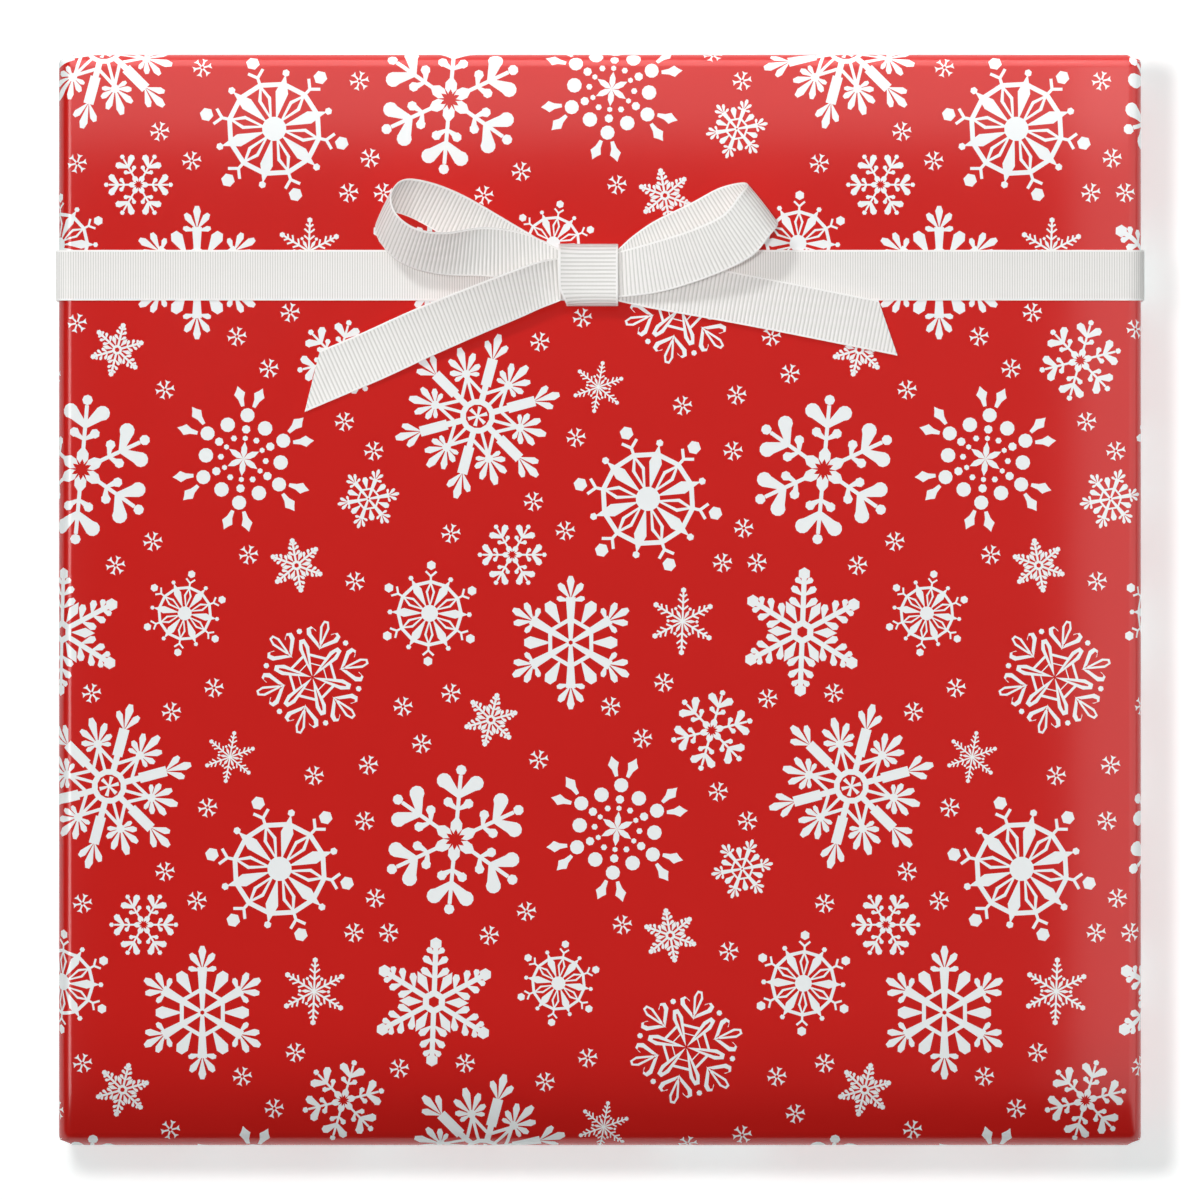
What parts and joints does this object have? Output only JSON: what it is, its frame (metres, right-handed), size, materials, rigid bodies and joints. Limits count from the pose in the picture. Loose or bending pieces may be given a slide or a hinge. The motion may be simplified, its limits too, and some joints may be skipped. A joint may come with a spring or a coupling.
{
  "type": "wrapped gift box",
  "caption": "Square lidded gift box wrapped in printed paper with folded, taped ends, a flat ribbon band that slides on it and a ribbon bow with flexing loops and tails.",
  "frame": {"origin": "under the middle of the package, on the surface that it lies on, back down", "axes": "+Z out of the face that carries the bow, +Y towards the upper end of that face, +X to the right of it"},
  "size_m": [0.2046, 0.2052, 0.091],
  "materials": {
    "board": "matt lined board",
    "wrapping_paper": "printed, satin coated outside, plain white inside",
    "tape": "clear adhesive tape",
    "ribbon": "ribbed grosgrain with a plain edge",
    "glue": "dried hot-melt glue"
  },
  "bodies": {
    "package": {"gift_box_base": "board", "gift_box_lid": "board", "paper_wrap": "wrapping_paper", "seam_tape": "tape", "top_left_tuck": "wrapping_paper", "top_right_tuck": "wrapping_paper", "top_inner_flap": "wrapping_paper", "bottom_left_tuck": "wrapping_paper", "bottom_right_tuck": "wrapping_paper", "bottom_inner_flap": "wrapping_paper"},
    "top_flap": {"top_outer_flap": "wrapping_paper", "top_flap_tape": "tape"},
    "bottom_flap": {"bottom_outer_flap": "wrapping_paper", "bottom_flap_tape": "tape"},
    "ribbon": {"ribbon_band": "ribbon", "band_glue": "glue", "bow_glue": "glue", "bow_knot": "ribbon", "bow_gather": "ribbon"},
    "left_loop": {"bow_left_loop": "ribbon"},
    "left_tail": {"bow_left_tail": "ribbon"},
    "right_tail": {"bow_right_tail": "ribbon"},
    "right_loop": {"bow_right_loop": "ribbon"}
  },
  "joints": [
    {"name": "ribbon_slide", "type": "slide", "parent": "package", "child": "ribbon", "axis": [0, 1, 0], "range_m": [-0.155, 0.033]},
    {"name": "top_flap_fold", "type": "hinge", "parent": "package", "child": "top_flap", "pos_m": [0, 0.1025, 0.07475], "axis": [1, 0, 0], "range_deg": [0, 90]},
    {"name": "bottom_flap_fold", "type": "hinge", "parent": "package", "child": "bottom_flap", "pos_m": [0, -0.1025, 0.07475], "axis": [-1, 0, 0], "range_deg": [0, 90]},
    {"name": "left_loop_lift", "type": "hinge", "parent": "ribbon", "child": "left_loop", "pos_m": [-0.0076, 0.061, 0.07985], "axis": [0, 1, 0], "range_deg": [0, 20]},
    {"name": "left_tail_lift", "type": "hinge", "parent": "left_loop", "child": "left_tail", "pos_m": [-0.0076, 0.061, 0.0811], "axis": [0, 1, 0], "range_deg": [0, 20]},
    {"name": "right_tail_lift", "type": "hinge", "parent": "ribbon", "child": "right_tail", "pos_m": [0.0032, 0.061, 0.07945], "axis": [0, -1, 0], "range_deg": [0, 20]},
    {"name": "right_loop_lift", "type": "hinge", "parent": "right_tail", "child": "right_loop", "pos_m": [0.0032, 0.061, 0.08065], "axis": [0, -1, 0], "range_deg": [0, 20]}
  ]
}
